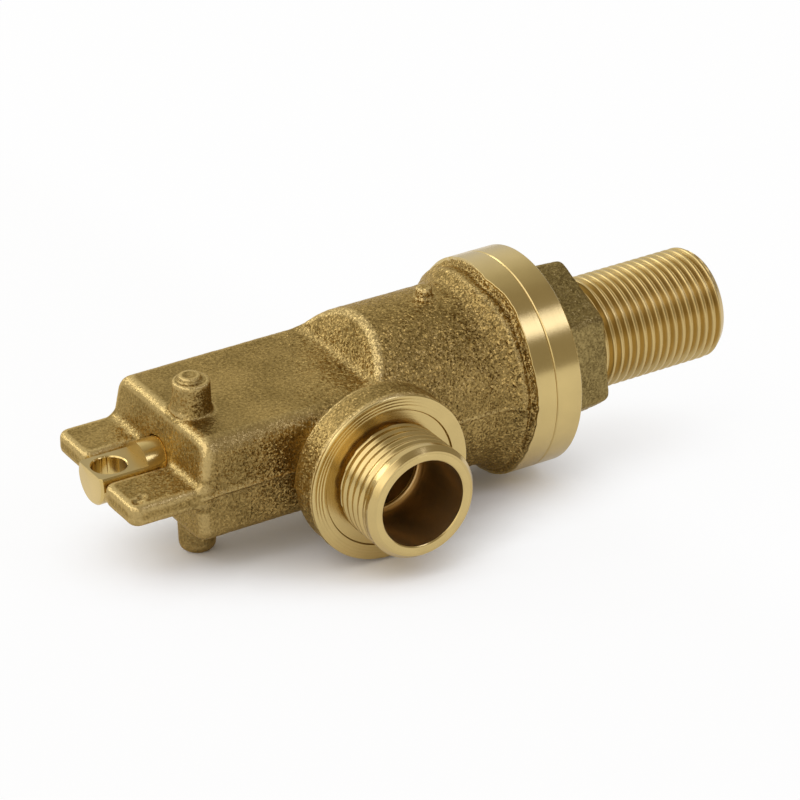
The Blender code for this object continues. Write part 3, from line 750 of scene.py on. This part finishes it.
def turned_material(name, axis, colour, roughness, lines=0.25, stretch=0.65):
    """Turned brass: fine lines round the axis, which also draw the highlights out."""
    def build(tree):
        where = object_place(tree)
        centred = node(tree, "ShaderNodeMapping", where, Location=[-c for c in CROSS]).outputs[0]
        parts = node(tree, "ShaderNodeSeparateXYZ", centred).outputs
        along = "xyz".index(axis)
        squares = [calc(tree, "MULTIPLY", parts[k], parts[k]) for k in range(3) if k != along]
        radius = calc(tree, "SQRT", calc(tree, "ADD", *squares))
        pair = node(tree, "ShaderNodeCombineXYZ", parts[along], radius).outputs[0]
        rings = noise(tree, pair, 3600.0, 2.0)
        stains = noise(tree, where, 220.0, 4.0)
        bump = node(tree, "ShaderNodeBump", Strength=lines, Distance=0.00003, Height=rings)
        tangent = node(tree, "ShaderNodeTangent", direction_type="RADIAL", axis=axis.upper())
        return {
            "Base Color": tinted(tree, stains, colour, 0.9), "Metallic": 1.0, "Roughness": roughness,
            "Anisotropic": stretch, "Anisotropic Rotation": 0.25,
            "Normal": bump.outputs[0], "Tangent": tangent.outputs[0],
        }
    return new_material(name, build)


def plain_material(name, colour, roughness, metallic, scale=900.0, depth=0.00003):
    """A small part's finish, with a faint grain of its own."""
    def build(tree):
        grain = noise(tree, object_place(tree), scale, 3.0)
        bump = node(tree, "ShaderNodeBump", Strength=0.3, Distance=depth, Height=grain)
        return {
            "Base Color": tinted(tree, grain, colour, 0.85), "Metallic": metallic, "Roughness": roughness,
            "Normal": bump.outputs[0],
        }
    return new_material(name, build)


CAST = cast_material("sand cast brass", dark=(0.25, 0.168, 0.053), light=(0.46, 0.32, 0.114))
# A darker copy of the cast brass for the hexagon: painted shade standing for its shadowed reflections.
SHADED_CAST_HEXAGON = cast_material(
    "sand cast brass of the hexagon", dark=(0.185, 0.132, 0.046), light=(0.355, 0.265, 0.104))
BRASS = (0.66, 0.5, 0.21)
TURNED_X = turned_material("turned brass", "x", BRASS, roughness=0.24)
TURNED_Y = turned_material("turned brass of the outlet", "y", BRASS, roughness=0.22)
THREAD = turned_material("cut brass thread", "x", (0.62, 0.46, 0.19), roughness=0.28, lines=0.35, stretch=0.3)
THREAD_Y = turned_material(
    "cut brass thread of the outlet", "y", (0.62, 0.465, 0.195), roughness=0.2, lines=0.35, stretch=0.4)
BORE = turned_material("bored brass", "y", (0.7, 0.51, 0.25), roughness=0.34, lines=0.8, stretch=0.3)
# Darker milled brass for the stem's flat and its end wall; on the wall the darkness is painted shade.
MILLED_AND_SHADED = turned_material("milled brass", "x", (0.48, 0.36, 0.145), roughness=0.4, lines=0.6, stretch=0.1)
STEM = turned_material("bright brass rod", "x", (0.68, 0.5, 0.19), roughness=0.2, lines=0.15, stretch=0.4)
STEEL = plain_material("stainless steel", (0.6, 0.6, 0.58), roughness=0.3, metallic=1.0)
RUBBER = plain_material("black rubber", (0.03, 0.03, 0.032), 0.55, 0.0, scale=2500.0, depth=0.00005)
WHITE = plain_material("white plastic", (0.8, 0.8, 0.77), roughness=0.4, metallic=0.0)
FIBRE = plain_material("gasket fibre", (0.25, 0.09, 0.05), 0.8, 0.0, scale=1800.0, depth=0.00008)


# Pieces

def torn_edge(place, angle):
    """Shifts the flange's left face, which the rough casting leaves ragged."""
    if place > 28.3:
        return np.zeros_like(angle)
    ring = np.stack([np.cos(angle) * FLANGE_RADIUS, np.sin(angle) * FLANGE_RADIUS, 0 * angle], 1)
    return round_from_top(RAGGED_EDGE, angle) + 0.1 * lattice(ring, 0.8, 11) + 0.07 * lattice(ring, 2.5, 12)


def make_body():
    """The casting and the turned flange that closes its barrel."""
    casting = make_casting()
    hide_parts("valve_body")
    flange = turned("body_flange_ring", [
        (27.68, 13.6), (FLANGE_START, 15.7), (27.66, 15.95), (27.75, FLANGE_RADIUS),
        (BODY_END - 0.09, FLANGE_RADIUS), (BODY_END, FLANGE_RADIUS - 0.09), (BODY_END, 13.6),
    ], TURNED_X, segments=420, ease=0.03, edge=torn_edge)


def make_outlet():
    """The boss's stepped and grooved face with the nipple, and the thread on it."""
    floor = OUTLET_FACE + 0.35
    grooves = [(OUTLET_FACE + 0.02 * (1 - math.cos(math.pi * i / 2)), 11.8 - 0.11 * i) for i in range(13)]
    nipple = turned("outlet_nipple", [
        (-14.5, 9.0), (-20.4, 11.0), (-20.8, 12.15), (-21.25, 12.24), (OUTLET_FACE, 12.1), *grooves,
        (OUTLET_FACE, 10.05), (floor, 9.93), (floor, 7.55), (floor - 0.1, 7.38), (floor - 1.2, 7.38),
        (-29.5, CORE_RADIUS), (OUTLET_END, CORE_RADIUS), (OUTLET_END, 6.5), (-29.75, 6.31),
        (-19.8, 6.31), (-19.5, 6.2), (-18.9, 5.75), (-18.7, 5.6), (-14.5, 5.6),
    ], TURNED_Y, axis="y", ease=0.06)
    nipple.data.materials.append(BORE)
    for part in nipple.data.polygons:
        away = (part.center - CROSS) / MM
        in_bore = -29.7 < away.y < -19.0 or away.y > -18.5
        part.material_index = int(in_bore and math.hypot(away.x, away.z) < 6.36)
    sleeve = thread_sleeve(
        "outlet_thread", floor - 0.6, OUTLET_END + 0.02, OUTLET_ROOT, plain=1.3, blend=0.7, chamfer=0.6,
        material=THREAD_Y, axis="y")


def make_cover():
    """The inlet cover: flange, cast hexagon, and nipple with its thread."""
    ring = turned("cover_flange", [
        (COVER_START, 7.5), (COVER_START, FLANGE_RADIUS - 0.18), (COVER_START + 0.18, FLANGE_RADIUS),
        (COVER_END - 0.17, FLANGE_RADIUS), (COVER_END, FLANGE_RADIUS - 0.17), (COVER_END, 7.5),
    ], TURNED_X, segments=420, ease=0.03)
    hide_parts("inlet_cover")
    nut = make_hexagon()
    core = turned("inlet_nipple", [
        (24.35, 4.8), (24.35, 5.45), (25.15, 5.8), (25.15, 10.3), (25.75, 10.9), (30.9, 10.9), (30.9, 7.6),
        (43.0, 7.28), (43.9, 7.28), (44.6, 7.35), (65.0, CORE_RADIUS), (INLET_END, CORE_RADIUS),
        (INLET_END, 6.5), (64.9, 6.0), (28.75, 6.0), (27.55, 4.8),
    ], TURNED_X, ease=0.07)
    sleeve = thread_sleeve(
        "inlet_thread", 43.75, INLET_END - 0.02, INLET_ROOT, plain=0.25, blend=0.5, chamfer=0.75,
        material=THREAD)


def cut_away(item, name, bm):
    """Takes a closed form out of an object."""
    mesh = bpy.data.meshes.new(name)
    bm.to_mesh(mesh)
    bm.free()
    tool = linked(name, mesh)
    step = item.modifiers.new(name, "BOOLEAN")
    step.operation = "DIFFERENCE"
    step.solver = "EXACT"
    step.object = tool
    settle(item)
    bpy.data.objects.remove(tool, do_unlink=True)


def cut_flat(rod):
    """The milled flat, from beyond the stem's end to the wall where the round rod begins."""
    bm = bmesh.new()
    bmesh.ops.create_cube(bm, size=1.0)
    for vert in bm.verts:
        x, y, z = vert.co
        vert.co = Vector((x * 9.4 + STEM_END + 2.7, y * 12, z * 4 + FLAT_HEIGHT + 2.0)) * MM + CROSS
    cut_away(rod, "flat", bm)


def cut_eye(rod):
    """The eye through the flat, and its lead-in."""
    for low, high, first, last in ((-7.0, 7.0, EYE_RADIUS, EYE_RADIUS), (1.33, 1.83, 2.4, 2.9)):
        bm = bmesh.new()
        bmesh.ops.create_cone(
            bm, cap_ends=True, segments=64, radius1=first * MM, radius2=last * MM, depth=(high - low) * MM)
        for vert in bm.verts:
            vert.co += Vector((STEM_END + 3.0, 0, (low + high) / 2)) * MM + CROSS
        cut_away(rod, "eye", bm)


def make_stem():
    """The round rod with its milled flat and eye."""
    rod = turned("stem_rod", [
        (STEM_END, 0), (STEM_END, STEM_RADIUS - 0.3), (STEM_END + 0.3, STEM_RADIUS), (17.28, STEM_RADIUS),
        (17.48, 3.35), (17.48, 2.6), (21.68, 2.6), (21.68, 1.9), (27.63, 1.9), (28.03, 1.5), (28.03, 0),
    ], STEM, segments=128, body="valve_rod")
    cut_flat(rod)
    cut_eye(rod)
    bevel = rod.modifiers.new("edges", "BEVEL")
    bevel.width = 0.09 * MM
    bevel.segments = 2
    bevel.limit_method = "ANGLE"
    bevel.angle_limit = math.radians(38)
    settle(rod)
    rod.data.materials.append(MILLED_AND_SHADED)
    for face in rod.data.polygons:
        face.use_smooth = True
        away = (face.center - CROSS) / MM
        flat = face.normal.z > 0.9 and away.z < FLAT_HEIGHT + 0.15
        # The end wall takes the darker milled brass as painted shade.
        wall = face.normal.x < -0.9 and away.x > STEM_END + 5
        face.material_index = int(away.x < -25 and (flat or wall))
    rod.data.set_sharp_from_angle(angle=math.radians(35))
    weigh_normals(rod)
    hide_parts("stem")


def make_spring():
    """Round wire with closed ends; in the valve it is squeezed against its washer as the stem is pulled."""
    wire, middle, sides = 0.5, 7.3, 14     # radius of the wire, of the coil, and the wire's facets
    closed, open_turns = 1.075, 3.2        # pitch of the end turns, and the turns between them
    low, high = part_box("return_spring")
    start = (low.x - CROSS.x) / MM + wire
    end = (high.x - CROSS.x) / MM - wire
    turn = np.linspace(0, open_turns + 2, 260)
    bends = [0, 1, 1 + open_turns, 2 + open_turns]
    place = np.interp(turn, bends, [start, start + closed, end - closed, end])
    along, out = spokes("x", 2 * np.pi * turn)
    line = place[:, None] * along + out * middle
    angle = np.linspace(0, 2 * np.pi, sides, endpoint=False)[None, :, None]
    rings = line[:, None] + wire * (np.cos(angle) * out[:, None] + np.sin(angle) * along)
    ends = [np.repeat(line[k][None, None], sides, 1) for k in (0, -1)]
    rings = np.concatenate([ends[0], rings, ends[1]])
    faces = [band(k, k + 1, sides) for k in range(len(rings) - 1)]
    spring = add_mesh("spring_wire", rings.reshape(-1, 3), np.concatenate(faces), STEEL)
    outward(spring)
    spring.data.set_sharp_from_angle(angle=math.radians(50))
    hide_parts("return_spring")
    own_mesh(spring)


def dress_inner_nodes():
    """Materials for the nodes that are carried over as they are."""
    finishes = {
        "cover_gasket": FIBRE, "backing_washer": WHITE, "gland_bush": WHITE,
        "stem_o_ring_outer": RUBBER, "stem_o_ring_inner": RUBBER, "seat_washer": RUBBER,
        "o_ring_spacer": TURNED_X, "valve_disc": TURNED_X,
        "retaining_ring": STEEL, "spring_washer": STEEL, "washer_plate": STEEL, "seat_nut": STEEL,
    }
    for name, material in finishes.items():
        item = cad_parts[name]
        item.data.materials.clear()
        item.data.materials.append(material)


# Floor, light and camera

def floor_material():
    """A white that shows plain shade close under the object, and less of it under the inlet."""
    material = bpy.data.materials.new("pale floor")
    material.use_nodes = True
    tree = material.node_tree
    tree.nodes.clear()
    path = node(tree, "ShaderNodeLightPath").outputs
    seen = calc(tree, "MULTIPLY_ADD", path["Is Glossy Ray"], 0.6, path["Is Camera Ray"])
    open_sky = node(tree, "ShaderNodeAmbientOcclusion", Distance=0.0175, samples=8).outputs["AO"]
    away = map_range(tree, open_sky, 0.32, 0.82, 0.02, 0.88)
    x = node(tree, "ShaderNodeSeparateXYZ", object_place(tree)).outputs["X"]
    paler = map_range(tree, x, 0.01, 0.03, 1.0, 0.45, interpolation_type="SMOOTHSTEP")
    dark = calc(tree, "MULTIPLY", calc(tree, "SUBTRACT", 1.0, away), paler)
    share = calc(tree, "MULTIPLY", seen, calc(tree, "SUBTRACT", 1.0, dark))
    diffuse = node(tree, "ShaderNodeBsdfDiffuse", Color=(0.98, 0.98, 0.98, 1)).outputs[0]
    glow = node(tree, "ShaderNodeEmission", Color=(1, 1, 1, 1), Strength=1.0).outputs[0]
    mix = node(tree, "ShaderNodeMixShader", share, diffuse, glow).outputs[0]
    node(tree, "ShaderNodeOutputMaterial", mix)
    return material


def make_floor():
    """A pale floor that touches the three points the valve rests on: lower peg, boss and flange."""
    up = Vector((0.048, 0.114, 0.992)).normalized()   # at right angles to the plane through them
    half_side, gap = 2.5, 0.00002   # metres
    lowest = min(
        min(np.array([v.co for v in item.data.vertices]) @ np.array(up))
        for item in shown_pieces() if item.type == "MESH"
    )
    side = up.cross(Vector((0, 1, 0))).normalized() * half_side
    back = up.cross(side)
    foot = CROSS + up * (lowest - CROSS.dot(up) - gap)
    corners = [foot + side * a + back * b for a, b in ((-1, -1), (1, -1), (1, 1), (-1, 1))]
    mesh = bpy.data.meshes.new("floor")
    mesh.from_pydata([c[:] for c in corners], [], [(0, 1, 2, 3)])
    mesh.materials.append(floor_material())
    floor = linked("floor", mesh)
    floor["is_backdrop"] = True


def make_world():
    """A room that is bright behind the object and dim elsewhere, with a panel beside it and a sheet above."""
    world = bpy.data.worlds.new("room")
    world.use_nodes = True
    bpy.context.scene.world = world
    tree = world.node_tree
    way = node(tree, "ShaderNodeTexCoord").outputs["Generated"]
    behind = vector_calc(tree, "DOT_PRODUCT", way, (0.0, 0.9, 0.43))
    shade = ramp(tree, calc(tree, "MULTIPLY_ADD", behind, 0.5, 0.5), [
        (0.0, (0.36, 0.325, 0.26)), (0.7, (0.37, 0.33, 0.26)), (0.86, (0.58, 0.56, 0.5)),
        (0.93, (0.82, 0.82, 0.8)), (1.0, (0.95, 0.95, 0.93)),
    ])
    beside = vector_calc(tree, "DOT_PRODUCT", way, (-0.62, -0.78, 0.06))
    panel = ramp(tree, beside, [(0.72, (0.0, 0.0, 0.0)), (0.86, (0.7, 0.7, 0.68)), (1.0, (0.75, 0.75, 0.72))])
    over = vector_calc(tree, "DOT_PRODUCT", way, (-0.68, 0.0, 0.73))
    sheet = ramp(tree, over, [(0.78, (0.0, 0.0, 0.0)), (0.88, (1.2, 1.2, 1.28)), (1.0, (1.4, 1.4, 1.5))])
    light = vector_calc(tree, "ADD", vector_calc(tree, "ADD", shade, panel), sheet)
    background = tree.nodes["Background"]
    feed(tree, background.inputs["Color"], light)
    white = node(tree, "ShaderNodeBackground", Color=(1, 1, 1, 1), Strength=1.0).outputs[0]
    seen = node(tree, "ShaderNodeLightPath").outputs["Is Camera Ray"]
    mix = node(tree, "ShaderNodeMixShader", seen, background.outputs[0], white).outputs[0]
    feed(tree, tree.nodes["World Output"].inputs["Surface"], mix)


def soft_box(name, direction, side, power, colour):
    """A square lamp at a fixed distance that shines at the object."""
    distance = 0.6
    lamp = bpy.data.lights.new(name, "AREA")
    lamp.color = colour
    lamp.shape = "SQUARE"
    lamp.size = side
    lamp.energy = power
    away = Vector(direction).normalized()
    item = linked(name, lamp)
    item.location = CROSS + away * distance
    item.rotation_mode = "QUATERNION"
    item.rotation_quaternion = away.to_track_quat("Z", "Y")


def make_camera():
    """The camera solved from the photograph's outlines."""
    focal_pixels, photo_pixels, sensor = 3958.8873, 800, 36.0
    place = Vector((-241.401, -421.936, 262.808)) * MM
    down = Vector((-0.25546, -0.39777, -0.88104))
    ahead = Vector((0.45708, 0.75331, -0.4726)).normalized()
    up = (-down - (-down).dot(ahead) * ahead).normalized()
    right = ahead.cross(up).normalized()
    data = bpy.data.cameras.new("camera")
    data.sensor_width = sensor
    data.lens = focal_pixels / photo_pixels * sensor
    data.clip_start = 0.01
    data.clip_end = 20.0
    camera = linked("camera", data)
    turn = Matrix((right, up, -ahead)).transposed().to_4x4()
    camera.matrix_world = Matrix.Translation(CROSS + place) @ turn
    bpy.context.scene.camera = camera


make_body()
make_outlet()
make_cover()
make_stem()
make_spring()
dress_inner_nodes()
make_floor()
make_world()
soft_box("key light", (0.457, -0.53, 0.7), side=0.2, power=0.3, colour=(0.9, 0.96, 1.3))
soft_box("back light", (-0.46, 0.75, 0.46), side=0.22, power=0.4, colour=(1.0, 1.0, 1.0))
make_camera()

bpy.context.scene.view_settings.view_transform = "Standard"
